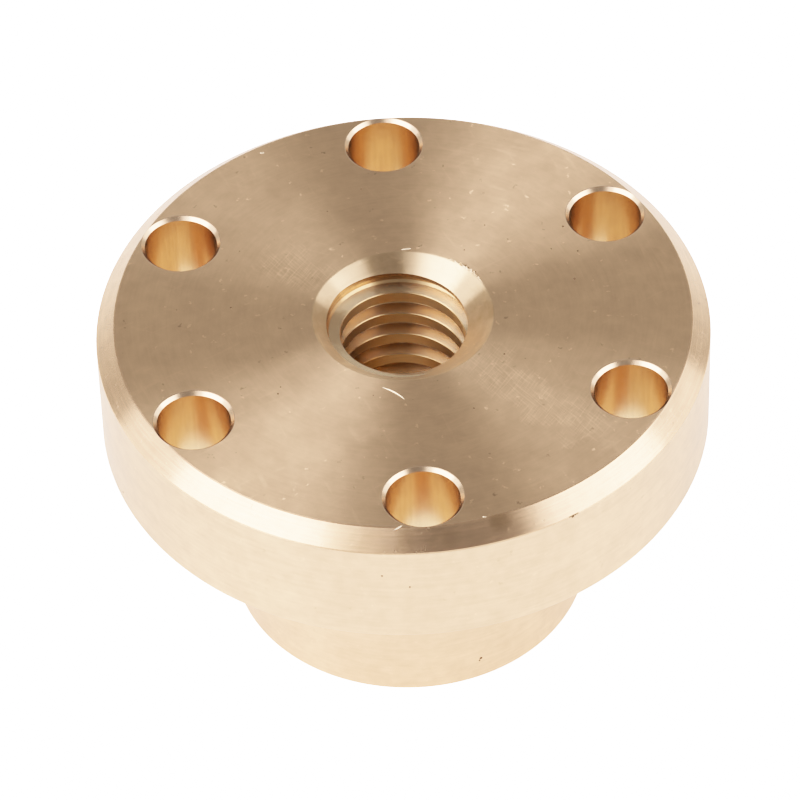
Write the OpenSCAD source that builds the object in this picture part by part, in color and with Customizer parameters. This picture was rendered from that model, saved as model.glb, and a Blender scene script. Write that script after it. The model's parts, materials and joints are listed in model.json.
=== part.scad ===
// Flanged nut for a trapezoidal lead screw, turned from one piece of bronze.
// The screw's axis is +Z. The hub's end face lies on Z = 0 and the flange is at the top.

/* [Flange] */
// Diameter of the flange
flange_d = 42; // [40.5:0.5:60]
// Thickness of the flange, from its seat to its outer face
flange_t = 10; // [4:0.5:20]
// Chamfer round the outer face, measured along the face
chamfer_w = 1.3; // [0.3:0.1:2.5]
// The same chamfer, measured down the flange's side
chamfer_h = 1.2; // [0.3:0.1:2.5]
// Bevel round the edge of the flange on its seat side
seat_bevel = 0.85; // [0.1:0.05:1.5]

/* [Bolt holes] */
// How many bolt holes stand round the flange
bolt_count = 6; // [2:1:10]
// Diameter of a bolt hole
bolt_hole_d = 5; // [2.5:0.1:5.9]
// Metal left between a bolt hole and the flange's side
rim_wall = 1.5; // [1:0.1:2.4]
// Bevel at both ends of a bolt hole
bolt_bevel = 0.25; // [0.1:0.05:0.6]

/* [Hub] */
// Diameter of the hub, which fits the bore that the nut is bolted to
hub_d = 25; // [17:0.5:26.5]
// Length of the hub under the flange
hub_l = 15; // [5:0.5:40]
// Bevel round the end of the hub
hub_bevel = 0.75; // [0.2:0.05:2]
// Radius that the turning tool leaves in the corner between the hub and the flange
corner_r = 0.4; // [0.2:0.1:1]

/* [Thread] */
// Nominal diameter of the screw
screw_d = 10; // [8:0.5:14]
// Distance between turns of the thread along the axis
pitch = 2; // [1:0.25:3]
// Slope of each flank, measured from square to the axis
flank_angle = 15; // [5:1:20]
// Gap between the crest of the screw and the bottom of the nut's groove
root_gap = 0.25; // [0.1:0.05:0.5]
// Gap between the bottom of the screw's groove and the crest of the nut
crest_gap = 0.3; // [0.1:0.05:0.4]
// Direction, counted from +X, in which the groove runs out through the outer face
thread_start = 9; // [0:1:359]

/* [Mouths] */
// How far each mouth opens past the bottom of the groove
mouth_reach = 0.95; // [0.3:0.05:2]
// Angle between a mouth's cone and the axis
mouth_angle = 55; // [40:1:65]

/* [Hidden] */

// Facets of a full circle, and of a full turn of the thread
circle_steps = 180;
turn_steps = 32;

// How far a cutting shape reaches past the metal that it cuts
cut_margin = 0.4;

overall_l = hub_l + flange_t;
flange_r = flange_d / 2;
hub_r = hub_d / 2;

bolt_hole_r = bolt_hole_d / 2;
bolt_circle_r = flange_r - rim_wall - bolt_hole_r;
// The holes are turned so that +X falls midway between two of them
first_bolt_angle = 180 / bolt_count;

// A trapezoidal thread is half metal and half groove at its pitch radius
pitch_r = screw_d / 2 - pitch / 4;
crest_r = screw_d / 2 - pitch / 2 + crest_gap;
root_r = screw_d / 2 + root_gap;

mouth_r = root_r + mouth_reach;
mouth_l = (mouth_r - crest_r) / tan(mouth_angle);

// Half the width of the groove, measured along the axis, at a given radius
function groove_half(radius) = pitch / 4 + (pitch_r - radius) * tan(flank_angle);

// The groove's four corners as [radius, offset along the axis]
cutter_r = crest_r - cut_margin;
groove_corners = [
    [cutter_r, -groove_half(cutter_r)],
    [root_r, -groove_half(root_r)],
    [root_r, groove_half(root_r)],
    [cutter_r, groove_half(cutter_r)],
];
corner_count = len(groove_corners);

// The groove runs one whole turn past each end of the nut
turns_below = ceil(overall_l / pitch) + 1;
turns_above = 1;
section_count = (turns_below + turns_above) * turn_steps;

// Direction of one cross-section of the groove, counted from +X
function section_angle(section) = thread_start + 360 * (section / turn_steps - turns_below);

// Height of the middle of the groove in that direction: a right-hand helix
function section_height(section) = overall_l + pitch * (section / turn_steps - turns_below);

// One corner of one cross-section of the groove
function groove_point(section, corner) = [
    corner[0] * cos(section_angle(section)),
    corner[0] * sin(section_angle(section)),
    section_height(section) + corner[1],
];

// The four-sided patch between a corner of one cross-section and the next corner of the next
function groove_patch(section, k) =
    let (
        here = section * corner_count,
        there = here + corner_count,
        next = (k + 1) % corner_count
    )
    [[here + k, there + next, there + k], [here + k, here + next, there + next]];

// Section of the flange and the hub, from the axis outwards
module body_section() {
    difference() {
        union() {
            polygon([
                [0, 0],
                [hub_r - hub_bevel, 0],
                [hub_r, hub_bevel],
                [hub_r, hub_l],
                [flange_r - seat_bevel, hub_l],
                [flange_r, hub_l + seat_bevel],
                [flange_r, overall_l - chamfer_h],
                [flange_r - chamfer_w, overall_l],
                [0, overall_l],
            ]);
            translate([hub_r, hub_l - corner_r])
                square([corner_r, corner_r]);
        }
        translate([hub_r + corner_r, hub_l - corner_r])
            circle(r = corner_r, $fn = 48);
    }
}

// The turned blank, before anything is cut into it
module blank() {
    rotate_extrude($fn = circle_steps)
        body_section();
}

// Section of the plain bore with a conical mouth at each end
module bore_section() {
    polygon([
        [0, -cut_margin],
        [mouth_r + cut_margin * tan(mouth_angle), -cut_margin],
        [crest_r, mouth_l],
        [crest_r, overall_l - mouth_l],
        [mouth_r + cut_margin * tan(mouth_angle), overall_l + cut_margin],
        [0, overall_l + cut_margin],
    ]);
}

module bore() {
    rotate_extrude($fn = circle_steps)
        bore_section();
}

// One bolt hole on the axis, with a bevel where it meets each face of the flange
module bolt_hole() {
    bevel_r = bolt_hole_r + bolt_bevel + cut_margin;
    rotate_extrude($fn = 64)
        polygon([
            [0, hub_l - cut_margin],
            [bevel_r, hub_l - cut_margin],
            [bolt_hole_r, hub_l + bolt_bevel],
            [bolt_hole_r, overall_l - bolt_bevel],
            [bevel_r, overall_l + cut_margin],
            [0, overall_l + cut_margin],
        ]);
}

module bolt_holes() {
    for (k = [0 : bolt_count - 1])
        rotate([0, 0, first_bolt_angle + k * 360 / bolt_count])
            translate([bolt_circle_r, 0, 0])
                bolt_hole();
}

// The helical groove as one swept solid, flat at both ends
module thread_groove() {
    sections = [0 : section_count];
    points = [for (s = sections, corner = groove_corners) groove_point(s, corner)];
    last = section_count * corner_count;
    sides = [
        for (s = [0 : section_count - 1], k = [0 : corner_count - 1])
            each groove_patch(s, k)
    ];
    start_cap = [3, 2, 1, 0];
    end_cap = [last, last + 1, last + 2, last + 3];
    polyhedron(points = points, faces = concat([start_cap, end_cap], sides), convexity = 10);
}

module flanged_nut() {
    color("peru")
        difference() {
            blank();
            bore();
            bolt_holes();
            thread_groove();
        }
}

flanged_nut();
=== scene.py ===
"""Looks of a flanged lead screw nut: one bronze body, turned, drilled and threaded, in soft studio light."""

import json
import logging
import math
import random
from dataclasses import dataclass, field
from enum import Enum
from typing import Any

import bmesh
import bpy
import numpy as np
from mathutils import Matrix, Vector


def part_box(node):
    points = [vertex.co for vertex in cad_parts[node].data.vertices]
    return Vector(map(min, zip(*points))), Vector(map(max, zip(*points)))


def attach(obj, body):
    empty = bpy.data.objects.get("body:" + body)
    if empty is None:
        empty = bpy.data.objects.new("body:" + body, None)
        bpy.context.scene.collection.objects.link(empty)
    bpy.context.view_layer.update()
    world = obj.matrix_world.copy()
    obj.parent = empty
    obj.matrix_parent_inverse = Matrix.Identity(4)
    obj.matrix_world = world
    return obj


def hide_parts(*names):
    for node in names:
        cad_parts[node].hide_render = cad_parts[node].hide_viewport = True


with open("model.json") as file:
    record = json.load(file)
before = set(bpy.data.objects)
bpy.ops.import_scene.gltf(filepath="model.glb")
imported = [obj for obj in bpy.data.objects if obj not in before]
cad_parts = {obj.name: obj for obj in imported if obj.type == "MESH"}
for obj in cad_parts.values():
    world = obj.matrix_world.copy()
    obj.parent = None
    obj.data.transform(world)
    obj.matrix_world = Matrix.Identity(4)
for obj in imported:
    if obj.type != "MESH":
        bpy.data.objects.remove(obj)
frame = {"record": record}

LOG = logging.getLogger("lead_screw_nut")
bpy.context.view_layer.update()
MM = 0.001
TURN = 2 * math.pi
ACROSS_THE_LAY = 0.25
ANISOTROPY_REACH = 0.9
FLAT_ENOUGH = 0.9999
SAME_SPOT = 1e-8
SHORTEST_EDGE = 1e-7

Profile = list[tuple[float, float]]
Colour = tuple[float, float, float]
Stops = tuple[tuple[float, float], ...]


# --------------------------------------------------------------------------------------
# Shader graph helpers
# --------------------------------------------------------------------------------------


class Value:
    """A number socket of a shader graph that can be used in Python arithmetic."""

    def __init__(self, graph: "Graph", socket: bpy.types.NodeSocket) -> None:
        """Keeps the graph and the socket together."""
        self.graph = graph
        self.socket = socket

    def math(self, operation: str, *others: "Value | float") -> "Value":
        """Adds a Math node.

        Args:
            operation: The Math node's operation.
            others: What follows this value in the node's inputs.

        Returns:
            The node's result.
        """
        return self.graph.math(operation, self, *others)

    def ramp(self, *stops: tuple[float, float]) -> "Value":
        """Maps this value by a ramp of (place, level) stops."""
        return self.graph.value(self.graph.node("ShaderNodeValToRGB", {"stops": list(stops)}, {0: self}))

    def __add__(self, other: "Value | float") -> "Value":
        """Sum."""
        return self.math("ADD", other)

    def __radd__(self, other: float) -> "Value":
        """Sum with the number first."""
        return self.graph.math("ADD", other, self)

    def __sub__(self, other: "Value | float") -> "Value":
        """Difference."""
        return self.math("SUBTRACT", other)

    def __rsub__(self, other: float) -> "Value":
        """Difference with the number first."""
        return self.graph.math("SUBTRACT", other, self)

    def __mul__(self, other: "Value | float") -> "Value":
        """Product."""
        return self.math("MULTIPLY", other)

    def __truediv__(self, other: "Value | float") -> "Value":
        """Quotient."""
        return self.math("DIVIDE", other)


class Graph:
    """The nodes of one material or of the world."""

    def __init__(self, tree: bpy.types.NodeTree) -> None:
        """Starts from an empty tree."""
        self.tree = tree
        tree.nodes.clear()

    def node(
        self,
        kind: str,
        settings: dict[str, Any] | None = None,
        inputs: dict[str | int, Any] | None = None,
    ) -> bpy.types.Node:
        """Adds one node.

        Args:
            kind: The node's type name.
            settings: Properties that are set first; "stops" fills a colour ramp.
            inputs: A value, a Value or a socket for each named or numbered input.

        Returns:
            The new node.
        """
        node = self.tree.nodes.new(kind)
        for name, setting in (settings or {}).items():
            if name == "stops":
                self._fill_ramp(node.color_ramp, setting)
            else:
                setattr(node, name, setting)
        for name, value in (inputs or {}).items():
            self.feed(node.inputs[name], value)
        return node

    def value(self, node: bpy.types.Node, output: str | int = 0) -> Value:
        """Wraps one output of a node."""
        return Value(self, node.outputs[output])

    def math(self, operation: str, *values: Value | float) -> Value:
        """Adds a Math node.

        Args:
            operation: The node's operation.
            values: Its inputs in order.

        Returns:
            The result.
        """
        node = self.node("ShaderNodeMath", {"operation": operation}, dict(enumerate(values)))
        return self.value(node)

    def mix(self, factor: Value | float, first: Any, second: Any) -> bpy.types.NodeSocket:
        """Mixes two colours.

        Args:
            factor: Share of the second colour.
            first: A colour or a colour socket.
            second: A colour or a colour socket.

        Returns:
            The mixed colour's socket.
        """
        node = self.node("ShaderNodeMix", {"data_type": "RGBA"}, {0: factor, 6: first, 7: second})
        return node.outputs[2]

    def axes(self, vector: bpy.types.NodeSocket) -> tuple[Value, Value, Value]:
        """Splits a vector into its three numbers."""
        node = self.node("ShaderNodeSeparateXYZ", None, {0: vector})
        return self.value(node, 0), self.value(node, 1), self.value(node, 2)

    def vector(self, *numbers: Value | float) -> bpy.types.NodeSocket:
        """Joins up to three numbers into a vector."""
        return self.node("ShaderNodeCombineXYZ", None, dict(enumerate(numbers))).outputs[0]

    def noise(self, vector: bpy.types.NodeSocket, scale: float, detail: float) -> Value:
        """Adds cloudy noise between 0 and 1."""
        noise = self.node("ShaderNodeTexNoise", None, {"Vector": vector, "Scale": scale, "Detail": detail})
        return self.value(noise)

    def feed(self, socket: bpy.types.NodeSocket, value: Any) -> None:
        """Links a socket or sets its value.

        Args:
            socket: The input that takes the value.
            value: A Value, a socket, a colour, a vector or a number.
        """
        if isinstance(value, Value):
            self.tree.links.new(value.socket, socket)
        elif isinstance(value, bpy.types.NodeSocket):
            self.tree.links.new(value, socket)
        elif isinstance(value, tuple) and len(value) == 3 and socket.type == "RGBA":
            socket.default_value = (*value, 1.0)
        else:
            socket.default_value = value

    @staticmethod
    def _fill_ramp(ramp: bpy.types.ColorRamp, stops: list[tuple[float, float]]) -> None:
        """Sets a ramp's grey stops.

        Args:
            ramp: The ramp.
            stops: The (place, brightness) of each stop.
        """
        while len(ramp.elements) < len(stops):
            ramp.elements.new(1.0)
        for element, (place, level) in zip(ramp.elements, stops, strict=True):
            element.position = place
            element.color = (level, level, level, 1.0)


# --------------------------------------------------------------------------------------
# Marks on bare metal
# --------------------------------------------------------------------------------------


class Lay(Enum):
    """Which way the tool's marks run on a surface."""

    ROUND_THE_AXIS = "round the axis"
    ALONG_THE_AXIS = "along the axis"


@dataclass(frozen=True)
class ToolMarks:
    """Uneven marks of the cutting tool, between 0 and 1."""

    lay: Lay
    run: float
    pitch: float
    radius: float = 12 * MM
    slant: float = 0.73
    detail: float = 2.0

    def height(self, graph: Graph, place: tuple[Value, Value, Value]) -> Value:
        """Works out the marks' height.

        Args:
            graph: The material's nodes.
            place: Coordinates on the part.

        Returns:
            The height between 0 and 1.
        """
        x, y, z = place
        if self.lay is Lay.ALONG_THE_AXIS:
            ways = (x * (1 / self.pitch), y * (1 / self.pitch), z * (1 / self.run))
        else:
            distance = (x * x + y * y).math("SQRT")
            turn = self.radius / self.run
            ways = (x / distance * turn, y / distance * turn, (distance - z * self.slant) * (1 / self.pitch))
        return graph.noise(graph.vector(*ways), 1.0, self.detail)


@dataclass(frozen=True)
class Scratches:
    """Short thin handling scratches in a few directions."""

    runs: tuple[tuple[float, float], ...] = ((0.5, 26.0), (1.9, 34.0), (2.7, 22.0))
    tilt: tuple[float, float] = (0.2, 0.1)
    scale: float = 3.2 / MM
    edge: Stops = ((0.70, 0.0), (0.76, 1.0))
    patch_scale: float = 0.5 / MM
    patches: Stops = ((0.42, 0.0), (0.58, 1.0))

    def mask(self, graph: Graph, place: bpy.types.NodeSocket) -> Value:
        """Marks where the scratches lie.

        Args:
            graph: The material's nodes.
            place: Coordinates on the part.

        Returns:
            A mask between 0 and 1.
        """
        mask: Value | None = None
        for turn, stretch in self.runs:
            turned = graph.node(
                "ShaderNodeMapping",
                {"vector_type": "TEXTURE"},
                {"Vector": place, "Rotation": (*self.tilt, turn), "Scale": (stretch, 1.0, 1.0)},
            )
            here = graph.noise(turned.outputs[0], self.scale, 0.0).ramp(*self.edge)
            mask = here if mask is None else mask.math("MAXIMUM", here)
        return mask * graph.noise(place, self.patch_scale, 1.0).ramp(*self.patches)


@dataclass(frozen=True)
class Specks:
    """Small dents scattered over the surface, some bright and some dark."""

    warp: float = 0.9 * MM
    warp_scale: float = 2.4 / MM
    scale: float = 1.3 / MM
    edge: Stops = ((0.08, 1.0), (0.20, 0.0))
    kept: Stops = ((0.62, 0.0), (0.66, 1.0))
    bright: Stops = ((0.30, 0.0), (0.34, 1.0))
    darkest: float = -0.9
    contrast: float = 1.7

    def masks(self, graph: Graph, place: bpy.types.NodeSocket, amount: float) -> tuple[Value, Value]:
        """Marks where the dents lie and how each looks.

        Args:
            graph: The material's nodes.
            place: Coordinates on the part.
            amount: Strength of the dents.

        Returns:
            The dents as a mask, and how much each is lighter or darker.
        """
        sockets = {"Vector": place, "Scale": self.warp_scale, "Detail": 2.0}
        noise = graph.node("ShaderNodeTexNoise", None, sockets)
        warped = graph.node(
            "ShaderNodeVectorMath",
            {"operation": "MULTIPLY_ADD"},
            {0: noise.outputs["Color"], 1: (self.warp,) * 3, 2: place},
        )
        sockets = {"Vector": warped.outputs[0], "Scale": self.scale, "Randomness": 1.0}
        cells = graph.node("ShaderNodeTexVoronoi", None, sockets)
        dice = graph.node("ShaderNodeSeparateColor", None, {0: cells.outputs["Color"]})
        near = graph.value(cells, "Distance").ramp(*self.edge)
        dent = near * graph.value(dice, 0).ramp(*self.kept) * amount
        return dent, dent * (graph.value(dice, 1).ramp(*self.bright) * self.contrast + self.darkest)


@dataclass(frozen=True)
class ScuffPatch:
    """Place of one scuffed patch on the outer face."""

    x: float
    y: float
    turn: float
    reach: float
    width: float

    def gate(self, x: Value, y: Value, wobble: Value) -> Value:
        """Fades from 1 in the middle of the patch to 0 at its edge.

        Args:
            x: First coordinate on the part.
            y: Second coordinate on the part.
            wobble: Shift of the patch's edge.

        Returns:
            The fade.
        """
        cos, sin = math.cos(self.turn), math.sin(self.turn)
        along = ((x - self.x) * cos + (y - self.y) * sin) * (1 / self.reach)
        across = ((y - self.y) * cos - (x - self.x) * sin + wobble) * (1 / self.width)
        return (1 - (along * along + across * across)).math("MAXIMUM", 0.0)


@dataclass(frozen=True)
class Scuffs:
    """Patches of crossed fine lines on the outer face."""

    patches: tuple[ScuffPatch, ...] = (
        ScuffPatch(-6.9 * MM, 5.4 * MM, -0.6, 3.2 * MM, 2.0 * MM),
        ScuffPatch(7.4 * MM, -7.6 * MM, -0.85, 6.5 * MM, 2.4 * MM),
        ScuffPatch(10.5 * MM, -10.8 * MM, -0.6, 3.0 * MM, 2.2 * MM),
    )
    level: float = 20 * MM
    turns: tuple[float, ...] = (0.95, -0.95)
    run: float = 1.6 * MM
    pitch: float = 0.12 * MM
    edge: Stops = ((0.48, 0.0), (0.70, 1.0))
    wobble: float = 6 * MM
    wobble_scale: float = 0.5 / MM

    def mask(self, graph: Graph, place: bpy.types.NodeSocket) -> Value:
        """Marks where the crossed lines lie.

        Args:
            graph: The material's nodes.
            place: Coordinates on the part.

        Returns:
            A mask between 0 and about 1.
        """
        x, y, z = graph.axes(place)
        on_top = (z - self.level).math("GREATER_THAN", 0.0)
        wobble = (graph.noise(place, self.wobble_scale, 3.0) - 0.5) * self.wobble
        inside: Value | None = None
        for patch in self.patches:
            gate = patch.gate(x, y, wobble)
            inside = gate if inside is None else inside.math("MAXIMUM", gate)
        lines: Value | None = None
        for turn in self.turns:
            cos, sin = math.cos(turn), math.sin(turn)
            way = graph.vector((x * cos + y * sin) * (1 / self.run), (y * cos - x * sin) * (1 / self.pitch))
            line = graph.noise(way, 1.0, 1.0).ramp(*self.edge)
            lines = line if lines is None else lines + line
        return lines * inside.math("POWER", 0.5) * on_top


@dataclass(frozen=True)
class StainAndPaintedShade:
    """A ragged brown patch mixed into the colour: a coolant stain on the chamfer, painted shade and a painted
    dark reflection in the bore.
    """

    x: float
    y: float
    z: float
    reach: float
    strength: float
    core: float = 1.2
    raggedness: float = 4.0
    streaks: float = 1.5

    def share(self, place: tuple[Value, Value, Value], cloud: Value, dashes: Value) -> Value:
        """Share of brown in the colour.

        Args:
            place: Coordinates on the part.
            cloud: Cloudy noise that makes the patch's edge ragged.
            dashes: Tool marks that draw it out.

        Returns:
            The share between 0 and the patch's strength.
        """
        x, y, z = place
        far = (x - self.x) * (x - self.x) + (y - self.y) * (y - self.y) + (z - self.z) * (z - self.z)
        spot = self.core - far * (1 / self.reach**2) + cloud * self.raggedness + dashes * self.streaks
        return spot.math("MAXIMUM", 0.0).math("MINIMUM", 1.0) * self.strength


# --------------------------------------------------------------------------------------
# Finishes
# --------------------------------------------------------------------------------------


@dataclass(frozen=True)
class BronzeFinish:
    """Bare machined bronze: its colour, its gloss and how strongly each kind of mark shows."""

    name: str
    lay: Lay = Lay.ROUND_THE_AXIS
    colour: Colour = (0.82, 0.525, 0.305)
    across: float = 0.36
    along: float = 0.07
    line_run: float = 30 * MM
    line_pitch: float = 0.13 * MM
    line_depth: float = 0.0012 * MM
    line_tone: float = 0.45
    dash_run: float = 1.6 * MM
    dash_pitch: float = 0.2 * MM
    dash_tone: float = 0.35
    mottle: float = 0.25
    mottle_scale: float = 0.30 / MM
    grain_scale: float = 1.1 / MM
    grain_height: float = 0.0006 * MM
    patch_scale: float = 0.22 / MM
    patches: Stops = ((0.40, 0.35), (0.62, 1.0))
    scratches: float = 0.5
    scratch_tone: float = 0.3
    scratch_depth: float = 0.0012 * MM
    scuffs: float = 0.0
    specks: float = 0.5
    speck_depth: float = 0.006 * MM
    stains_and_painted_shade: tuple[StainAndPaintedShade, ...] = ()
    # Brown of the chamfer's stains and of the painted shade in the bore.
    stain_and_shade_colour: Colour = (0.42, 0.25, 0.12)
    darkest: float = 0.62
    lightest: float = 1.14
    mottle_gloss: float = 0.08
    line_gloss: float = 0.05
    scratch_gloss: float = 0.1

    @property
    def roughness(self) -> float:
        """Shader roughness midway between the slopes across and along the lay."""
        return (self.across * self.along) ** 0.25

    @property
    def anisotropy(self) -> float:
        """Shader anisotropy that gives the two slopes."""
        return (1 - self.along / self.across) / ANISOTROPY_REACH

    def material(self) -> bpy.types.Material:
        """Builds the material.

        Returns:
            The new material.
        """
        material = bpy.data.materials.new(self.name)
        material.use_nodes = True
        graph = Graph(material.node_tree)
        place = graph.node("ShaderNodeTexCoord").outputs["Object"]
        axes = graph.axes(place)
        lines = ToolMarks(self.lay, self.line_run, self.line_pitch).height(graph, axes) - 0.5
        dashes = ToolMarks(self.lay, self.dash_run, self.dash_pitch).height(graph, axes) - 0.5
        cloud = graph.noise(place, self.mottle_scale, 4.0) - 0.5
        grain = graph.noise(place, self.grain_scale, 5.0) - 0.5
        mark = lines * graph.noise(place, self.patch_scale, 2.0).ramp(*self.patches)
        scratch = Scratches().mask(graph, place) * self.scratches
        dent, tone = Specks().masks(graph, place, self.specks)
        shade = cloud * self.mottle + grain * self.mottle + mark * self.line_tone + dashes * self.dash_tone
        shade = shade + tone + scratch * self.scratch_tone
        if self.scuffs:
            shade = shade + Scuffs().mask(graph, place) * self.scuffs
        colour = graph.mix(shade + 0.5, *self._dark_and_light())
        # Stains on the chamfer; painted shade and painted dark reflections in the mouth and on the flanks.
        for stain_and_shade_patch in self.stains_and_painted_shade:
            colour = graph.mix(stain_and_shade_patch.share(axes, cloud, dashes), colour, self.stain_and_shade_colour)
        height = mark * self.line_depth - scratch * self.scratch_depth
        height = height + grain * self.grain_height - dent * self.speck_depth
        bump = graph.node("ShaderNodeBump", None, {"Strength": 1.0, "Distance": 1.0, "Height": height})
        rough = self.roughness + cloud * self.mottle_gloss + mark * self.line_gloss
        rough = rough + scratch * self.scratch_gloss + dent * self.scratch_gloss
        self._shader(graph, colour, rough, bump.outputs[0])
        return material

    def _dark_and_light(self) -> tuple[Colour, Colour]:
        """The darkest and the lightest tone of the metal."""
        dark = tuple(channel * self.darkest for channel in self.colour)
        return dark, tuple(min(1.0, channel * self.lightest) for channel in self.colour)

    def _shader(
        self, graph: Graph, colour: bpy.types.NodeSocket, rough: Value, normal: bpy.types.NodeSocket
    ) -> None:
        """Adds the metal's shader and the material's output.

        Args:
            graph: The material's nodes.
            colour: Colour over the surface.
            rough: Roughness over the surface.
            normal: Normal over the surface.
        """
        shader = graph.node(
            "ShaderNodeBsdfPrincipled",
            None,
            {
                "Base Color": colour,
                "Metallic": 1.0,
                "Roughness": rough,
                "Anisotropic": self.anisotropy,
                "Normal": normal,
            },
        )
        if self.anisotropy > 0:
            tangent = graph.node("ShaderNodeTangent", {"direction_type": "RADIAL", "axis": "Z"})
            graph.feed(shader.inputs["Tangent"], tangent.outputs[0])
            graph.feed(shader.inputs["Anisotropic Rotation"], ACROSS_THE_LAY)
        graph.node("ShaderNodeOutputMaterial", None, {"Surface": shader.outputs[0]})


@dataclass(frozen=True)
class FloorFinish:
    """A matt pale light table."""

    name: str = "pale_floor"
    colour: Colour = (0.86, 0.86, 0.86)
    roughness: float = 0.9
    glow: float = 4.0
    glow_on_parts: float = 0.225

    def material(self) -> bpy.types.Material:
        """Builds the material.

        Returns:
            The new material.
        """
        material = bpy.data.materials.new(self.name)
        material.use_nodes = True
        graph = Graph(material.node_tree)
        seen = graph.value(graph.node("ShaderNodeLightPath"), "Is Camera Ray")
        glow = graph.mix(seen, (self.glow_on_parts,) * 3, (1.0, 1.0, 1.0))
        shader = graph.node(
            "ShaderNodeBsdfPrincipled",
            None,
            {
                "Base Color": self.colour,
                "Roughness": self.roughness,
                "Emission Color": glow,
                "Emission Strength": self.glow,
            },
        )
        below = graph.value(graph.node("ShaderNodeNewGeometry"), "Backfacing")
        clear = graph.node("ShaderNodeBsdfTransparent")
        both = graph.node("ShaderNodeMixShader", None, {0: below, 1: shader.outputs[0], 2: clear.outputs[0]})
        graph.node("ShaderNodeOutputMaterial", None, {"Surface": both.outputs[0]})
        return material


# --------------------------------------------------------------------------------------
# Mesh helpers
# --------------------------------------------------------------------------------------


def linked(name: str, data: bpy.types.ID) -> bpy.types.Object:
    """Makes an object and links it to the scene.

    Args:
        name: Name of the object.
        data: Its mesh, lamp or camera.

    Returns:
        The new object.
    """
    made = bpy.data.objects.new(name, data)
    bpy.context.scene.collection.objects.link(made)
    return made


def mesh_object(name: str, points: np.ndarray, faces: list[tuple[int, ...]]) -> bpy.types.Object:
    """Makes a linked object.

    Args:
        name: Name of the object and its mesh.
        points: Vertex places, one row each.
        faces: Vertex numbers of each face, seen anticlockwise from outside.

    Returns:
        The new object.
    """
    mesh = bpy.data.meshes.new(name)
    mesh.from_pydata(points.tolist(), [], faces)
    mesh.update()
    return linked(name, mesh)


def as_array(sections: list[list[Vector]]) -> np.ndarray:
    """Turns cross-sections of vectors into one array of (section, corner, 3)."""
    return np.array([[list(corner) for corner in section] for section in sections])


def revolved(name: str, profile: Profile, steps: int) -> bpy.types.Object:
    """Turns an outline round the Z axis into a closed solid.

    Args:
        name: Name of the object.
        profile: (radius, height) from the axis at the bottom to the axis at the top.
        steps: Facets of a full turn.

    Returns:
        The solid.
    """
    low, *ring_profile, high = profile
    angles = np.arange(steps) * TURN / steps
    x, y, level = np.cos(angles), np.sin(angles), np.ones(steps)
    rings = [np.column_stack([r * x, r * y, z * level]) for r, z in ring_profile]
    points = np.vstack([*rings, [[0, 0, low[1]]], [[0, 0, high[1]]]])
    bottom, top = len(points) - 2, len(points) - 1
    faces: list[tuple[int, ...]] = []
    for k in range(steps):
        n = (k + 1) % steps
        faces.append((bottom, n, k))
        for ring in range(len(rings) - 1):
            here, above = ring * steps, (ring + 1) * steps
            faces.append((here + k, here + n, above + n, above + k))
        last = (len(rings) - 1) * steps
        faces.append((last + k, last + n, top))
    return mesh_object(name, points, faces)


def swept(name: str, sections: np.ndarray) -> bpy.types.Object:
    """Joins a row of closed cross-sections into one solid with flat ends.

    Args:
        name: Name of the object.
        sections: Array of (section, corner, 3), corners anticlockwise as seen from the far end.

    Returns:
        The solid.
    """
    count, corners, _ = sections.shape
    faces: list[tuple[int, ...]] = []
    for s in range(count - 1):
        for k in range(corners):
            n = (k + 1) % corners
            here, there = s * corners, (s + 1) * corners
            faces.append((here + k, here + n, there + n, there + k))
    last = (count - 1) * corners
    faces.append(tuple(reversed(range(corners))))
    faces.append(tuple(last + k for k in range(corners)))
    return mesh_object(name, sections.reshape(-1, 3), faces)


def combine(body: bpy.types.Object, tool: bpy.types.Object, operation: str = "DIFFERENCE") -> None:
    """Cuts a closed tool out of a closed body, or welds it on, and deletes the tool.

    Args:
        body: The body that is changed.
        tool: The tool.
        operation: "DIFFERENCE" cuts, "UNION" welds.
    """
    modifier = body.modifiers.new("combine", "BOOLEAN")
    modifier.operation = operation
    modifier.solver = "MANIFOLD"
    modifier.object = tool
    graph = bpy.context.evaluated_depsgraph_get()
    result = bpy.data.meshes.new_from_object(body.evaluated_get(graph))
    body.modifiers.clear()
    old, body.data = body.data, result
    bpy.data.meshes.remove(old)
    bpy.data.objects.remove(tool)


# --------------------------------------------------------------------------------------
# The nut
# --------------------------------------------------------------------------------------


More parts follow.
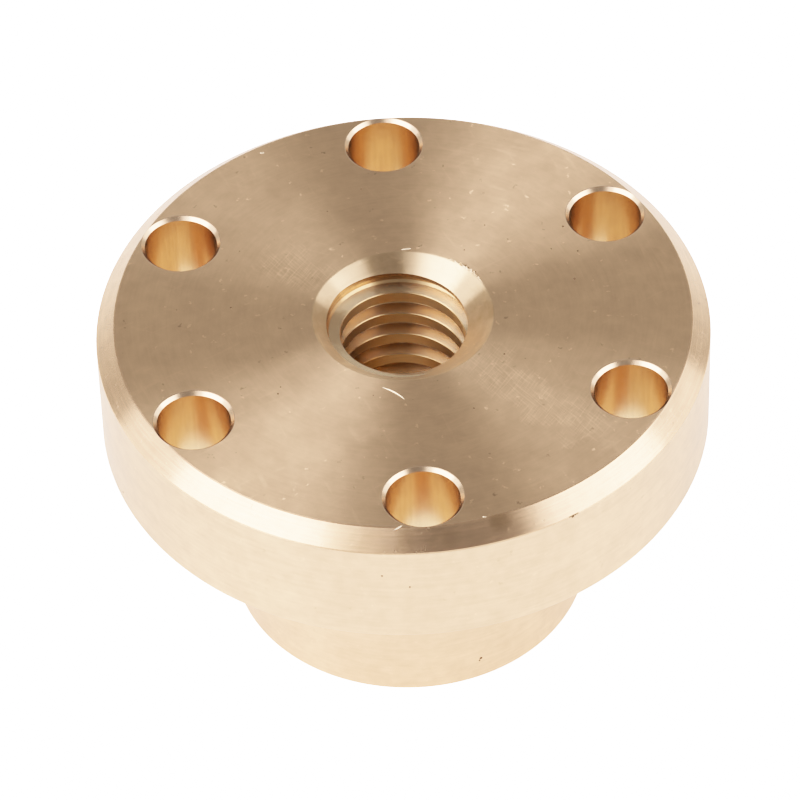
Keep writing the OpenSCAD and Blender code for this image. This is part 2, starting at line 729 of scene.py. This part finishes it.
@dataclass
class Blank:
    """The turned outside: a hub with a flange at its top."""

    flange_radius: float
    hub_radius: float
    seat_height: float
    height: float
    chamfer_width: float = 1.3 * MM
    chamfer_drop: float = 1.2 * MM
    seat_bevel: float = 0.85 * MM
    hub_bevel: float = 0.75 * MM
    corner_radius: float = 0.4 * MM
    corner_steps: int = 8
    edge: float = 0.05 * MM
    steps: int = 360

    def profile(self) -> Profile:
        """Draws the turned outline, with each edge slightly broken.

        Returns:
            Its points, from the axis at the bottom to the axis at the top.
        """
        hub, seat, flange, top = self.hub_radius, self.seat_height, self.flange_radius, self.height
        corners = [
            (hub - self.hub_bevel, 0.0),
            (hub, self.hub_bevel),
            *self._inner_corner(),
            (flange - self.seat_bevel, seat),
            (flange, seat + self.seat_bevel),
            (flange, top - self.chamfer_drop),
            (flange - self.chamfer_width, top),
        ]
        sharp = {0, 1, *range(len(corners) - 4, len(corners))}
        broken: Profile = []
        path = [(0.0, 0.0), *corners, (0.0, top)]
        for k, corner in enumerate(corners):
            broken += self._broken(path[k], corner, path[k + 2]) if k in sharp else [corner]
        return [(0.0, 0.0), *broken, (0.0, top)]

    def _inner_corner(self) -> Profile:
        """Draws the arc that the tool leaves between the hub and the flange.

        Returns:
            Its points, from the hub to the flange.
        """
        radius = self.corner_radius
        centre_r, centre_z = self.hub_radius + radius, self.seat_height - radius
        arc = [math.pi - k * math.pi / (2 * self.corner_steps) for k in range(self.corner_steps + 1)]
        return [(centre_r + radius * math.cos(a), centre_z + radius * math.sin(a)) for a in arc]

    def _broken(
        self, before: tuple[float, float], corner: tuple[float, float], after: tuple[float, float]
    ) -> Profile:
        """Replaces a corner by a narrow flat.

        Args:
            before: The outline's point ahead of the corner.
            corner: The corner.
            after: The outline's point past the corner.

        Returns:
            The two ends of the flat.
        """
        spot = Vector(corner)
        ends = [spot + (Vector(far) - spot).normalized() * self.edge for far in (before, after)]
        return [tuple(end) for end in ends]

    def build(self, name: str) -> bpy.types.Object:
        """Makes the blank's solid."""
        return revolved(name, self.profile(), self.steps)


@dataclass
class ThreadedBore:
    """The bore with a cone at each mouth and a right-hand trapezoidal groove."""

    crest_radius: float
    height: float
    root_radius: float = 5.25 * MM
    pitch: float = 2.0 * MM
    pitch_radius: float = 4.5 * MM
    flank: float = math.radians(15)
    mouth_reach: float = 0.95 * MM
    mouth_angle: float = math.radians(55)
    start: float = math.radians(9)
    edge: float = 0.05 * MM
    root_fillet: float = 0.14 * MM
    lip: float = 0.3 * MM
    lip_from: float = 0.4
    lip_to: float = 1.15
    reach: float = 0.2 * MM
    steps: int = 360
    turn_steps: int = 120

    @property
    def mouth_radius(self) -> float:
        """Radius of a mouth where it meets the face."""
        return self.root_radius + self.mouth_reach

    def groove_half(self, radius: float) -> float:
        """Half the groove's width at a radius."""
        return self.pitch / 4 + (self.pitch_radius - radius) * math.tan(self.flank)

    def bore(self) -> bpy.types.Object:
        """Makes the plain bore with its two cones.

        Returns:
            The cutting solid.
        """
        slope = math.tan(self.mouth_angle)
        half_slope = math.tan((self.mouth_angle + math.pi / 2) / 2)
        depth = (self.mouth_radius - self.crest_radius) / slope
        out = 2 * self.edge
        low = [
            (0.0, -out),
            (self.mouth_radius + out * half_slope, -out),
            (self.mouth_radius - self.edge * slope * 0.5, self.edge * 0.5),
            (self.crest_radius, depth),
        ]
        high = [(r, self.height - z) for r, z in reversed(low)]
        return revolved("bore_tool", [*low, *high], self.steps)

    def lip_radius(self, depth: float) -> float:
        """Radius out to which the crest's feather edge breaks away at a mouth.

        Args:
            depth: Depth of the groove's middle below the face.

        Returns:
            The radius at which the crest is as thick as the lip.
        """
        cone = 1 / math.tan(self.mouth_angle)
        flank = math.tan(self.flank)
        room = self.lip - depth + self.pitch / 4 + self.pitch_radius * flank + self.mouth_radius * cone
        return min(max(room / (flank + cone), self.crest_radius - self.reach / 2), self.root_radius)

    def broken_lip(self) -> bpy.types.Object:
        """Makes what breaks away of the crest's feather edge at the upper mouth.

        Returns:
            The cutting solid.
        """
        inner = self.crest_radius - self.reach
        cone = 1 / math.tan(self.mouth_angle)
        sections = []
        for depth in np.linspace(self.lip_from * self.pitch, self.lip_to * self.pitch, self.turn_steps):
            outer = self.lip_radius(depth)
            angle = self.start - depth / self.pitch * TURN
            corners = []
            for radius in (inner, outer):
                flank_depth = depth - self.groove_half(radius)
                corners.append((radius, min((self.mouth_radius - radius) * cone, flank_depth) - self.reach))
            for radius in (outer, inner):
                corners.append((radius, depth - self.groove_half(radius) + self.reach / 2))
            sections.append([(r * math.cos(angle), r * math.sin(angle), self.height - d) for r, d in corners])
        return swept("lip_tool", np.array(sections[::-1]))

    def lower_lip(self) -> bpy.types.Object:
        """Makes the same for the lower mouth: the thread looks alike when it is turned upside down.

        Returns:
            The cutting solid.
        """
        tool = self.broken_lip()
        axis = self.start + math.pi / 2
        flip = Matrix.Rotation(math.pi, 4, Vector((math.cos(axis), math.sin(axis), 0)))
        tool.data.transform(Matrix.Translation((0, 0, self.height)) @ flip)
        return tool

    def groove_section(self) -> Profile:
        """Draws the groove's cross-section.

        Returns:
            Its corners as (radius, offset along the axis), from the inside out and back.
        """
        inner = self.crest_radius - self.reach
        lip = self.crest_radius + self.edge
        foot = self.root_radius - self.root_fillet
        upper = [
            (inner, self.groove_half(lip) + self.reach + self.edge),
            (lip, self.groove_half(lip)),
            (foot, self.groove_half(foot)),
            (self.root_radius, self.groove_half(self.root_radius) - self.root_fillet),
        ]
        lower = [(r, -offset) for r, offset in upper]
        return [*upper, *reversed(lower)]

    def groove(self) -> bpy.types.Object:
        """Makes the helical groove, one turn past both ends.

        Returns:
            The cutting solid.
        """
        below = math.ceil(self.height / self.pitch) + 1
        turns = np.arange((below + 1) * self.turn_steps + 1) / self.turn_steps - below
        section = np.array(self.groove_section())
        angle = self.start + turns * TURN
        middle = self.height + turns * self.pitch
        radius = section[:, 0][None, :]
        points = np.stack(
            [
                radius * np.cos(angle)[:, None],
                radius * np.sin(angle)[:, None],
                middle[:, None] + section[:, 1][None, :],
            ],
            axis=-1,
        )
        return swept("groove_tool", points)


@dataclass
class BoltHoles:
    """Plain through holes round the flange, bevelled at both faces."""

    circle_radius: float
    hole_radius: float
    count: int
    low: float
    high: float
    bevel: float = 0.25 * MM
    edge: float = 0.04 * MM
    flare: float = math.radians(22.5)
    steps: int = 96

    def centres(self) -> list[tuple[float, float]]:
        """Places the holes; +X falls midway between two of them.

        Returns:
            The (x, y) of each hole's axis.
        """
        step = TURN / self.count
        angles = [step / 2 + k * step for k in range(self.count)]
        return [(self.circle_radius * math.cos(a), self.circle_radius * math.sin(a)) for a in angles]

    def tool(self) -> bpy.types.Object:
        """Makes all the holes.

        Returns:
            One cutting solid of separate plugs.
        """
        out = 4 * self.edge
        rim = self.hole_radius + self.bevel
        low = [
            (0.0, self.low - out),
            (rim + out / math.tan(self.flare), self.low - out),
            (rim - self.edge / 2, self.low + self.edge / 2),
            (self.hole_radius, self.low + self.bevel),
        ]
        high = [(r, self.high + self.low - z) for r, z in reversed(low)]
        plug = revolved("hole_tool", [*low, *high], self.steps)
        mesh = bmesh.new()
        for x, y in self.centres():
            start = len(mesh.verts)
            mesh.from_mesh(plug.data)
            mesh.verts.ensure_lookup_table()
            bmesh.ops.translate(mesh, vec=(x, y, 0), verts=mesh.verts[start:])
        mesh.to_mesh(plug.data)
        mesh.free()
        return plug


@dataclass(frozen=True)
class Burr:
    """A thin sliver of metal that stands up from the surface, tapered to both ends."""

    start: Vector
    end: Vector
    width: float
    height: float
    bow: float = 0.0
    up: Vector = Vector((0.0, 0.0, 1.0))
    sink: float = 0.02 * MM
    tip: float = 0.12
    fullness: float = 0.7
    steps: int = 8

    def sections(self) -> np.ndarray:
        """Shapes the burr.

        Returns:
            Diamond cross-sections from one end to the other.
        """
        along = self.end - self.start
        side = self.up.cross(along).normalized()
        sections = []
        for k in range(self.steps + 1):
            swell = math.sin(math.pi * k / self.steps)
            size = self.tip + (1 - self.tip) * swell**self.fullness
            middle = self.start + along * (k / self.steps) + side * (self.bow * swell)
            half, rise = side * (self.width * size / 2), self.up * (self.height * size)
            sections.append([middle + half, middle + rise, middle - half, middle - self.up * self.sink])
        return as_array(sections)


@dataclass(frozen=True)
class Fringe:
    """A ragged lip of torn metal that stands up along one side of a mouth.

    Its own measures are in millimetres, and its angles in degrees from +X.
    """

    radius: float
    top: float
    seed: int
    first: float = 23
    last: float = 56
    steps: int = 44
    jitter: float = 0.3
    rise: tuple[float, float] = (0.02, 0.20)
    lean: tuple[float, float] = (0.02, 0.08)
    foot: tuple[float, float] = (0.02, 0.10)
    root: tuple[float, float] = (0.04, 0.05)
    keel: tuple[float, float] = (0.02, 0.09)
    peaks: Stops = ((45.5, 0.36), (38.0, 0.16), (34.0, 0.24), (31.5, 0.18), (51.7, 0.14))
    peak_width: float = 1.1
    fullness: float = 0.4
    tip: float = 0.05

    def sections(self) -> np.ndarray:
        """Shapes the lip.

        Returns:
            Four-cornered cross-sections from one end to the other.
        """
        dice = random.Random(self.seed)
        first, last = math.radians(self.first), math.radians(self.last)
        sections = []
        for k in range(self.steps + 1):
            angle = first + (last - first) * (k + dice.uniform(-self.jitter, self.jitter)) / self.steps
            chance = dice.random() ** 2
            fade = math.sin(math.pi * k / self.steps) ** self.fullness if 0 < k < self.steps else self.tip
            out = Vector((math.cos(angle), math.sin(angle), 0.0))
            rim = out * self.radius + Vector((0.0, 0.0, self.top))
            rise = (self.rise[0] + self.rise[1] * chance) * fade * MM + self._peak(math.degrees(angle))
            lean = (self.lean[0] + self.lean[1] * chance) * fade * MM
            outer = rim + out * (self.foot[1] * fade + self.foot[0]) * MM
            inner = rim - out * self.root[0] * fade * MM - Vector((0.0, 0.0, self.root[1] * MM))
            under = rim - Vector((0.0, 0.0, self.keel[1] * MM)) + out * self.keel[0] * MM
            sections.append([outer, rim + out * lean + Vector((0.0, 0.0, rise)), inner, under])
        return as_array(sections)

    def _peak(self, angle: float) -> float:
        """Extra height of the tallest splinters at an angle."""
        return sum(height * MM * max(0.0, 1 - abs(angle - at) / self.peak_width) for at, height in self.peaks)


@dataclass
class Wear:
    """Burrs and small dents, each at its place on the nut.

    Burrs are (start x, start y, end x, end y, width, height, bow) on the outer face, and dents are
    (x, y, z, radius), all in millimetres.
    """

    top: float
    mouth_radius: float
    seed: int = 11
    burrs: tuple[tuple[float, ...], ...] = (
        (-1.90, -6.72, -0.50, -7.98, 0.13, 0.07, 0.12),
        (-2.18, -19.85, -1.58, -19.46, 0.16, 0.07, 0.0),
        (0.40, 6.36, 1.08, 6.40, 0.18, 0.09, 0.0),
        (-8.72, 17.00, -8.42, 17.02, 0.18, 0.06, 0.0),
        (3.74, -19.20, 4.00, -19.22, 0.12, 0.05, 0.0),
    )
    dents: tuple[tuple[float, float, float, float], ...] = (
        (-1.18, -5.30, 24.37, 0.10),
        (4.05, -11.82, 2.61, 0.11),
        (3.95, -11.85, 2.42, 0.07),
        (-3.08, -20.77, 21.66, 0.07),
        (-1.27, -20.96, 20.59, 0.07),
        (-19.86, -6.82, 16.69, 0.09),
        (9.79, -18.58, 23.72, 0.11),
        (10.00, -18.50, 23.78, 0.08),
        # The next three dents lie just outside the mouth's torn lip; their dark finish paints the lip's
        # shadow on the outer face.
        (4.68, 4.36, 25.02, 0.08),
        (4.84, 4.18, 25.02, 0.07),
        (5.26, 3.67, 25.02, 0.09),
    )
    pits: int = 16
    pit_ring: tuple[float, float] = (7.5, 14.0)
    pit_radius: tuple[float, float] = (0.04, 0.08)
    round_off: float = 1.001
    spots: list[tuple[Vector, float]] = field(init=False)

    def __post_init__(self) -> None:
        """Adds the scattered pits to the dents."""
        self.spots = [(Vector((x * MM, y * MM, z * MM)), radius * MM) for x, y, z, radius in self.dents]
        dice = random.Random(self.seed + 1)
        for _ in range(self.pits):
            angle, radius = dice.uniform(0, TURN), dice.uniform(*self.pit_ring) * MM
            spot = Vector((radius * math.cos(angle), radius * math.sin(angle), self.top))
            self.spots.append((spot, dice.uniform(*self.pit_radius) * MM))

    def raised(self) -> bpy.types.Object:
        """Makes the burrs and the ragged lip.

        Returns:
            One tool to be welded on.
        """
        work = bmesh.new()
        solids = [self._burr(*burr).sections() for burr in self.burrs]
        for sections in (*solids, Fringe(self.mouth_radius, self.top, self.seed).sections()):
            part = swept("burr", sections)
            work.from_mesh(part.data)
            bpy.data.objects.remove(part)
        return self._closed("burrs", work)

    def _burr(self, x: float, y: float, end_x: float, end_y: float, *sizes: float) -> Burr:
        """Places one burr on the outer face."""
        ends = [Vector((px * MM, py * MM, self.top)) for px, py in ((x, y), (end_x, end_y))]
        return Burr(*ends, *(size * MM for size in sizes))

    def sunk(self) -> bpy.types.Object:
        """Makes the dents.

        Returns:
            One tool to be cut out.
        """
        work = bmesh.new()
        for spot, radius in self.spots:
            bmesh.ops.create_icosphere(work, subdivisions=2, radius=radius, matrix=Matrix.Translation(spot))
        return self._closed("dents", work)

    def in_dent(self, spot: Vector) -> bool:
        """Tells whether a spot lies inside one of the dents."""
        return any((spot - centre).length < radius * self.round_off for centre, radius in self.spots)

    @staticmethod
    def _closed(name: str, work: bmesh.types.BMesh) -> bpy.types.Object:
        """Turns all faces outwards and makes an object of them.

        Args:
            name: Name of the object and its mesh.
            work: The faces.

        Returns:
            The new object.
        """
        bmesh.ops.recalc_face_normals(work, faces=work.faces)
        mesh = bpy.data.meshes.new(name)
        work.to_mesh(mesh)
        work.free()
        return linked(name, mesh)


class Zone(Enum):
    """Surfaces of the nut that differ in finish, in the order of their material slots."""

    OUTER_FACE = 0
    CHAMFER = 1
    SIDE = 2
    MOUTH = 3
    FLANK = 4
    CREST = 5
    HOLE = 6
    ROOT = 7
    DENT = 8
    BURR = 9
    RIM = 10


CHAMFER_STAINS = (
    StainAndPaintedShade(4.95 * MM, -19.5 * MM, 24.6 * MM, 0.85 * MM, 0.6),
    StainAndPaintedShade(1.6 * MM, -20.2 * MM, 24.3 * MM, 0.8 * MM, 0.3),
    StainAndPaintedShade(-1.6 * MM, -20.3 * MM, 24.3 * MM, 0.7 * MM, 0.25),
    StainAndPaintedShade(0.8 * MM, -20.3 * MM, 24.4 * MM, 0.9 * MM, 0.15),
    StainAndPaintedShade(-5.4 * MM, -19.5 * MM, 24.4 * MM, 1.8 * MM, 0.4),
    StainAndPaintedShade(-3.6 * MM, -19.9 * MM, 24.4 * MM, 1.6 * MM, 0.4),
)
# Painted shade on both sides of the upper cone and a painted dark reflection on its far side.
MOUTH_PAINTED_SHADE = (
    StainAndPaintedShade(5.5 * MM, -0.3 * MM, 24.4 * MM, 2.4 * MM, 0.5),
    StainAndPaintedShade(-5.5 * MM, 0.6 * MM, 24.4 * MM, 2.4 * MM, 0.45),
    StainAndPaintedShade(-0.9 * MM, 5.7 * MM, 24.6 * MM, 1.5 * MM, 0.4),
)
# Painted shadow on the first flank at the left, where the groove runs out of the cone, and painted shade in
# the middle of the far flank.
FLANK_PAINTED_SHADE = (
    StainAndPaintedShade(-4.4 * MM, 0.3 * MM, 23.5 * MM, 2.3 * MM, 0.6),
    StainAndPaintedShade(-0.4 * MM, 4.9 * MM, 23.3 * MM, 1.3 * MM, 0.75),
)
CLEAN = {"scratches": 0.0, "specks": 0.0}

# Bounds on how far up or down a face of each kind looks, from 0 on a wall to 1 on a level face.
LEVEL = 0.99
TILTED = 0.97
UPRIGHT = 0.3
FLANK_SLOPE = 0.85
FILLET_SLOPE = 0.35

FINISHES = {
    Zone.OUTER_FACE: BronzeFinish(
        "faced_bronze",
        colour=(0.845, 0.542, 0.318),
        across=0.5,
        along=0.03,
        line_depth=0.0006 * MM,
        line_tone=0.1,
        dash_tone=0.22,
        mottle=0.45,
        scratches=0.25,
        scuffs=0.3,
        specks=0.8,
    ),
    Zone.CHAMFER: BronzeFinish(
        "chamfered_bronze",
        colour=(0.82, 0.517, 0.306),
        across=0.12,
        along=0.03,
        line_tone=0.7,
        mottle=0.4,
        scratches=0.3,
        specks=0.3,
        stains_and_painted_shade=CHAMFER_STAINS,
    ),
    Zone.SIDE: BronzeFinish(
        "turned_bronze",
        colour=(0.795, 0.518, 0.312),
        across=0.2,
        along=0.06,
        line_tone=0.2,
        mottle=0.45,
        scratches=0.2,
        specks=0.25,
    ),
    # A lighter copy of the bronze that brightens the cones' highlights and their shaded near side: painted
    # light.
    Zone.MOUTH: BronzeFinish(
        "mouth_bronze",
        colour=(0.94, 0.605, 0.355),
        across=0.32,
        along=0.025,
        dash_tone=0.15,
        mottle=0.25,
        scratches=0.7,
        specks=0.2,
        stains_and_painted_shade=MOUTH_PAINTED_SHADE,
    ),
    # A lighter, paler copy of the bronze that makes the lit thread flanks brighter: painted light.
    Zone.FLANK: BronzeFinish(
        "thread_flank_bronze",
        colour=(0.96, 0.67, 0.42),
        across=0.25,
        along=0.012,
        line_tone=0.1,
        dash_tone=0.1,
        scratches=0.0,
        specks=0.3,
        stains_and_painted_shade=FLANK_PAINTED_SHADE,
    ),
    Zone.CREST: BronzeFinish(
        "thread_crest_bronze", colour=(0.84, 0.54, 0.23), across=0.2, along=0.04, dash_tone=0.1, **CLEAN
    ),
    Zone.HOLE: BronzeFinish(
        "drilled_bronze",
        lay=Lay.ALONG_THE_AXIS,
        colour=(0.76, 0.52, 0.29),
        across=0.06,
        along=0.06,
        line_pitch=0.3 * MM,
        **CLEAN,
    ),
    # A darker copy of the bronze: painted shade in the groove's root and fillets.
    Zone.ROOT: BronzeFinish(
        "thread_root_bronze",
        colour=(0.60, 0.37, 0.18),
        line_pitch=0.2 * MM,
        line_tone=1.2,
        across=0.12,
        along=0.04,
        **CLEAN,
    ),
    # A dark copy of the bronze: painted shade in the dents and pits.
    Zone.DENT: BronzeFinish("dirt_in_dents", colour=(0.30, 0.19, 0.10), across=0.3, along=0.3, **CLEAN),
    # A pale copy of the bronze that paints the highlights of the burrs and the torn lip.
    Zone.BURR: BronzeFinish("bright_burrs", colour=(0.90, 0.69, 0.47), across=0.3, along=0.3, **CLEAN),
    Zone.RIM: BronzeFinish(
        "hole_rim_bronze", colour=(0.85, 0.57, 0.36), across=0.05, along=0.05, scratches=0.2, specks=0.0
    ),
}


@dataclass
class LeadScrewNut:
    """The whole part."""

    record: dict[str, Any]
    node: str
    smooth_limit: float = math.radians(12)
    slack: float = 0.02 * MM
    blank: Blank = field(init=False)
    bore: ThreadedBore = field(init=False)
    holes: BoltHoles = field(init=False)
    wear: Wear = field(init=False)

    def __post_init__(self) -> None:
        """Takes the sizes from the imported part."""
        low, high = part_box(self.node)
        mounts = {mount["name"]: mount for mount in self.record["mounts"]}
        seat = mounts["flange_seat"]["pos_m"][2]
        bolts = mounts["flange_bolts"]["dims"]
        reach = min(high.x, high.y, -low.x, -low.y)
        self.blank = Blank(reach, mounts["hub"]["dims"]["r_mm"] * MM, seat, high.z)
        self.bore = ThreadedBore(mounts["screw_thread"]["dims"]["r_mm"] * MM, high.z)
        circle, hole = bolts["pcd_mm"] / 2 * MM, bolts["hole_r_mm"] * MM
        self.holes = BoltHoles(circle, hole, bolts["count"], seat, high.z)
        self.wear = Wear(high.z, self.bore.mouth_radius)

    def build(self) -> bpy.types.Object:
        """Turns, bores, threads and drills the body, and dresses it.

        Returns:
            The finished body.
        """
        body = self.blank.build("nut_body")
        combine(body, self.bore.bore())
        combine(body, self.bore.groove())
        combine(body, self.bore.broken_lip())
        combine(body, self.bore.lower_lip())
        combine(body, self.holes.tool())
        combine(body, self.wear.raised(), "UNION")
        combine(body, self.wear.sunk())
        self._shade(body.data)
        self._dress(body.data)
        return body

    def _shade(self, mesh: bpy.types.Mesh) -> None:
        """Cleans the mesh, shades curved surfaces smooth and keeps every machined edge crisp.

        Args:
            mesh: The body's mesh.
        """
        work = bmesh.new()
        work.from_mesh(mesh)
        bmesh.ops.remove_doubles(work, verts=work.verts, dist=SAME_SPOT)
        bmesh.ops.dissolve_degenerate(work, edges=work.edges, dist=SHORTEST_EDGE)
        loose = [edge for edge in work.edges if not edge.link_faces]
        bmesh.ops.delete(work, geom=loose, context="EDGES")
        bmesh.ops.delete(work, geom=[vert for vert in work.verts if not vert.link_faces], context="VERTS")
        gaps = [edge for edge in work.edges if len(edge.link_faces) == 1]
        bmesh.ops.holes_fill(work, edges=gaps, sides=4)
        between_two = [vert for vert in work.verts if len(vert.link_edges) == 2]
        bmesh.ops.dissolve_verts(work, verts=between_two)
        for face in work.faces:
            face.smooth = abs(face.normal.z) < FLAT_ENOUGH
        for edge in work.edges:
            edge.smooth = len(edge.link_faces) == 2 and edge.calc_face_angle(0.0) < self.smooth_limit
        work.to_mesh(mesh)
        work.free()

    def _dress(self, mesh: bpy.types.Mesh) -> None:
        """Gives each face the finish of the surface that it lies on.

        Args:
            mesh: The body's mesh.
        """
        mesh.materials.clear()
        for zone in Zone:
            mesh.materials.append(FINISHES[zone].material())
        for polygon in mesh.polygons:
            polygon.material_index = self._zone(polygon.center, polygon.normal).value

    def _zone(self, spot: Vector, normal: Vector) -> Zone:
        """Finds the surface that a face belongs to.

        Args:
            spot: The face's centre.
            normal: The face's normal.

        Returns:
            Its zone.
        """
        radius, slope, slack = math.hypot(spot.x, spot.y), abs(normal.z), self.slack
        if spot.z > self.blank.height + slack / 10:
            return Zone.BURR
        if self.wear.in_dent(spot):
            return Zone.DENT
        hole_reach = self.holes.hole_radius + self.holes.bevel + 2 * self.holes.edge
        in_hole = any(math.hypot(spot.x - x, spot.y - y) < hole_reach for x, y in self.holes.centres())
        if in_hole and slope < TILTED and radius > self.blank.hub_radius:
            return Zone.HOLE if slope < UPRIGHT else Zone.RIM
        depth = min(spot.z, self.blank.height - spot.z)
        if slope > LEVEL and (depth < slack or radius > self.blank.hub_radius):
            return Zone.OUTER_FACE
        if radius < self.bore.mouth_radius + slack:
            cone = (self.bore.mouth_radius - radius) / math.tan(self.bore.mouth_angle)
            if depth < cone - slack / 3:
                return Zone.BURR
            if depth < cone + slack:
                return Zone.MOUTH
            if slope > FLANK_SLOPE:
                return Zone.FLANK
            if slope > FILLET_SLOPE:
                return Zone.ROOT
            return Zone.CREST if radius < self.bore.pitch_radius + slack else Zone.ROOT
        if spot.z > self.blank.height - self.blank.chamfer_drop - slack:
            return Zone.CHAMFER
        return Zone.SIDE


# --------------------------------------------------------------------------------------
# The studio
# --------------------------------------------------------------------------------------


@dataclass
class Softbox:
    """A large soft lamp, placed by its direction from the nut."""

    name: str
    azimuth: float
    elevation: float
    distance: float
    width: float
    height: float
    radiance: float
    colour: Colour = (1.0, 1.01, 1.12)

    def build(self, target: Vector) -> bpy.types.Object:
        """Makes the lamp and turns it towards the target.

        Args:
            target: What the lamp shines at.

        Returns:
            The lamp.
        """
        lamp = bpy.data.lights.new(self.name, "AREA")
        lamp.shape = "RECTANGLE"
        lamp.size, lamp.size_y = self.width, self.height
        lamp.energy = self.radiance * math.pi * self.width * self.height
        lamp.color = self.colour
        made = linked(self.name, lamp)
        back = direction(self.azimuth, self.elevation)
        made.location = target + back * self.distance
        made.rotation_euler = (-back).to_track_quat("-Z", "Y").to_euler()
        return made


def direction(azimuth: float, elevation: float) -> Vector:
    """Unit vector from the nut; azimuth 0 is -Y and 90 is +X, both angles in degrees."""
    a, e = math.radians(azimuth), math.radians(elevation)
    return Vector((math.sin(a) * math.cos(e), -math.cos(a) * math.cos(e), math.sin(e)))


@dataclass
class Studio:
    """Floor, lamps, surroundings and camera."""

    target: Vector
    view_azimuth: float = -3.29
    view_elevation: float = 45.06
    view_distance: float = 380.5 * MM
    view_roll: float = -1.765
    lens: float = 251.3
    sensor: float = 36.0
    aim_height: float = 16.69 * MM
    aim_aside: float = -0.37 * MM
    room_level: float = 0.56
    dark_level: float = 0.34
    dark_elevation: float = 52.0
    dark_from: float = 0.74
    dark_to: float = 0.96
    horizon_level: float = 0.45
    horizon_top: float = 0.45
    backdrop_level: float = 6.0
    floor_half: float = 3.0
    floor_gap: float = 0.01 * MM

    def build(self) -> None:
        """Makes everything round the nut."""
        self._floor()
        self._world()
        for lamp in self._lamps():
            lamp.build(self.target)
        self._camera()

    def _lamps(self) -> list[Softbox]:
        """Sets out two softboxes, each a wide pale diffuser with a brighter middle.

        Returns:
            The lamps.
        """
        here = self.view_azimuth
        return [
            Softbox("left_diffuser", here - 68, 38, 0.90, 1.52, 1.35, 1.8),
            Softbox("left_middle", here - 60, 36, 0.88, 0.72, 0.95, 3.1),
            Softbox("right_diffuser", here + 84, 24, 0.90, 1.25, 0.90, 1.7),
            Softbox("right_middle", here + 71, 22, 0.88, 0.68, 0.60, 2.7),
        ]

    def _floor(self) -> None:
        """A wide plain floor under the nut."""
        half = self.floor_half
        corners = np.array([[-half, -half, 0], [half, -half, 0], [half, half, 0], [-half, half, 0]])
        floor = mesh_object("floor", corners, [(0, 1, 2, 3)])
        floor.location.z = -self.floor_gap
        floor.data.materials.append(FloorFinish().material())

    def _world(self) -> None:
        """A dim room round the lamps; its white backdrop shows only when it is looked at directly."""
        world = bpy.data.worlds.new("studio")
        bpy.context.scene.world = world
        world.use_nodes = True
        graph = Graph(world.node_tree)
        way = graph.node("ShaderNodeTexCoord").outputs["Generated"]
        above = tuple(direction(self.view_azimuth, self.dark_elevation))
        toward = graph.node("ShaderNodeVectorMath", {"operation": "DOT_PRODUCT"}, {0: way, 1: above})
        room = graph.node(
            "ShaderNodeMapRange",
            {"interpolation_type": "SMOOTHSTEP"},
            {
                "Value": graph.value(toward, "Value"),
                "From Min": self.dark_from,
                "From Max": self.dark_to,
                "To Min": self.room_level,
                "To Max": self.dark_level,
            },
        )
        seen = graph.value(graph.node("ShaderNodeLightPath"), "Is Camera Ray")
        height = graph.axes(way)[2]
        low = (1 - height * (1 / self.horizon_top)).math("MAXIMUM", 0.0) * self.horizon_level
        level = (graph.value(room) + low) * (1 - seen) + seen * self.backdrop_level
        shader = graph.node("ShaderNodeBackground", None, {"Color": level, "Strength": 1.0})
        graph.node("ShaderNodeOutputWorld", None, {"Surface": shader.outputs[0]})

    def _camera(self) -> None:
        """The camera, looking down on the outer face."""
        data = bpy.data.cameras.new("camera")
        data.lens = self.lens
        data.sensor_width = self.sensor
        camera = linked("camera", data)
        back = direction(self.view_azimuth, self.view_elevation)
        camera.location = self.target + back * self.view_distance
        right = direction(self.view_azimuth + 90, 0)
        aim = Vector((0, 0, self.aim_height)) + right * self.aim_aside
        look = (aim - camera.location).to_track_quat("-Z", "Y").to_matrix()
        roll = Matrix.Rotation(math.radians(self.view_roll), 3, "Z")
        camera.rotation_euler = (look @ roll).to_euler()
        bpy.context.scene.camera = camera


@dataclass(frozen=True)
class Exposure:
    """A camera's tone curve: straight in the shadows, then a soft shoulder up to white."""

    shoulder: float = 0.228
    white: float = 6.0
    places: tuple[float, ...] = (0.0154, 0.0309, 0.0475, 0.07, 0.095, 0.13, 0.173, 0.24, 0.33, 0.5, 0.75)

    def level(self, light: float) -> float:
        """Works out a brightness.

        Args:
            light: Amount of light.

        Returns:
            How bright it looks.
        """
        if light < self.shoulder:
            return light
        room = 1 - self.shoulder
        return self.shoulder + room * (1 - math.exp(-(light - self.shoulder) / room))

    def apply(self, scene: bpy.types.Scene) -> None:
        """Sets the scene's view to this curve.

        Args:
            scene: The scene.
        """
        view = scene.view_settings
        view.view_transform = "Standard"
        view.use_curve_mapping = True
        mapping = view.curve_mapping
        mapping.white_level = (self.white,) * 3
        points = mapping.curves[3].points
        for place in self.places:
            points.new(place, self.level(place * self.white))
        points[-1].location = (1.0, 1.0)
        mapping.update()


# --------------------------------------------------------------------------------------
# The scene
# --------------------------------------------------------------------------------------


def main() -> None:
    """Builds the nut and the studio."""
    logging.basicConfig(level=logging.INFO, format="%(message)s")
    nut = LeadScrewNut(frame["record"], "flanged_nut")
    body = nut.build()
    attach(body, "root")
    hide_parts("flanged_nut")
    LOG.info("%s: %d vertices", body.name, len(body.data.vertices))
    Studio(Vector((0, 0, nut.blank.height))).build()
    Exposure().apply(bpy.context.scene)


if __name__ == "__main__":
    main()
